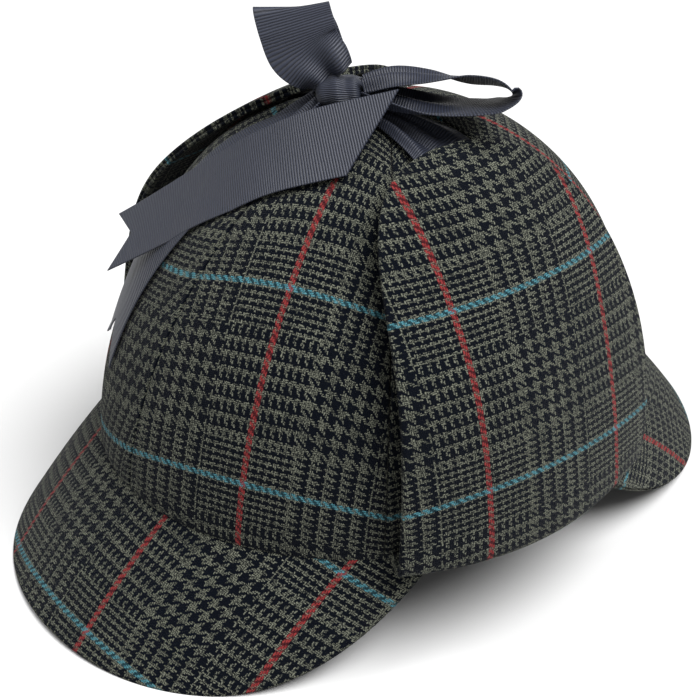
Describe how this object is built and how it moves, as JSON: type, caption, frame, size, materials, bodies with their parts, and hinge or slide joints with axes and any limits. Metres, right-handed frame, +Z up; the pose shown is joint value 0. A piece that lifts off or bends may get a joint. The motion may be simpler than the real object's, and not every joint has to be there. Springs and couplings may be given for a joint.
{
  "type": "deerstalker hat",
  "caption": "Deerstalker hat in glen check tweed with a peak at the front and the rear, and ear flaps tied up over the gored crown in a ribbon bow.",
  "frame": {"origin": "On the surface that the hat rests on, under the middle of its box.", "axes": "+Z is up, the front peak points to -Y and the wearer's left side is +X."},
  "size_m": [0.1928, 0.2862, 0.1913],
  "materials": {
    "tweed": "wool tweed in a glen check with red and blue-green overcheck lines",
    "ribbon": "dark navy grosgrain ribbon with fine cross ribs"
  },
  "bodies": {
    "root": {"crown_gore_1": "tweed", "crown_gore_2": "tweed", "crown_gore_3": "tweed", "crown_gore_4": "tweed", "crown_gore_5": "tweed", "crown_gore_6": "tweed", "front_peak": "tweed", "rear_peak": "tweed", "ear_flap_left": "tweed", "ear_flap_right": "tweed", "bow_knot": "ribbon", "ribbon_lead_left": "ribbon", "ribbon_lead_right": "ribbon", "bow_loop_upright": "ribbon", "bow_loop_side": "ribbon", "bow_tail_long": "ribbon", "bow_tail_short": "ribbon"}
  },
  "joints": []
}
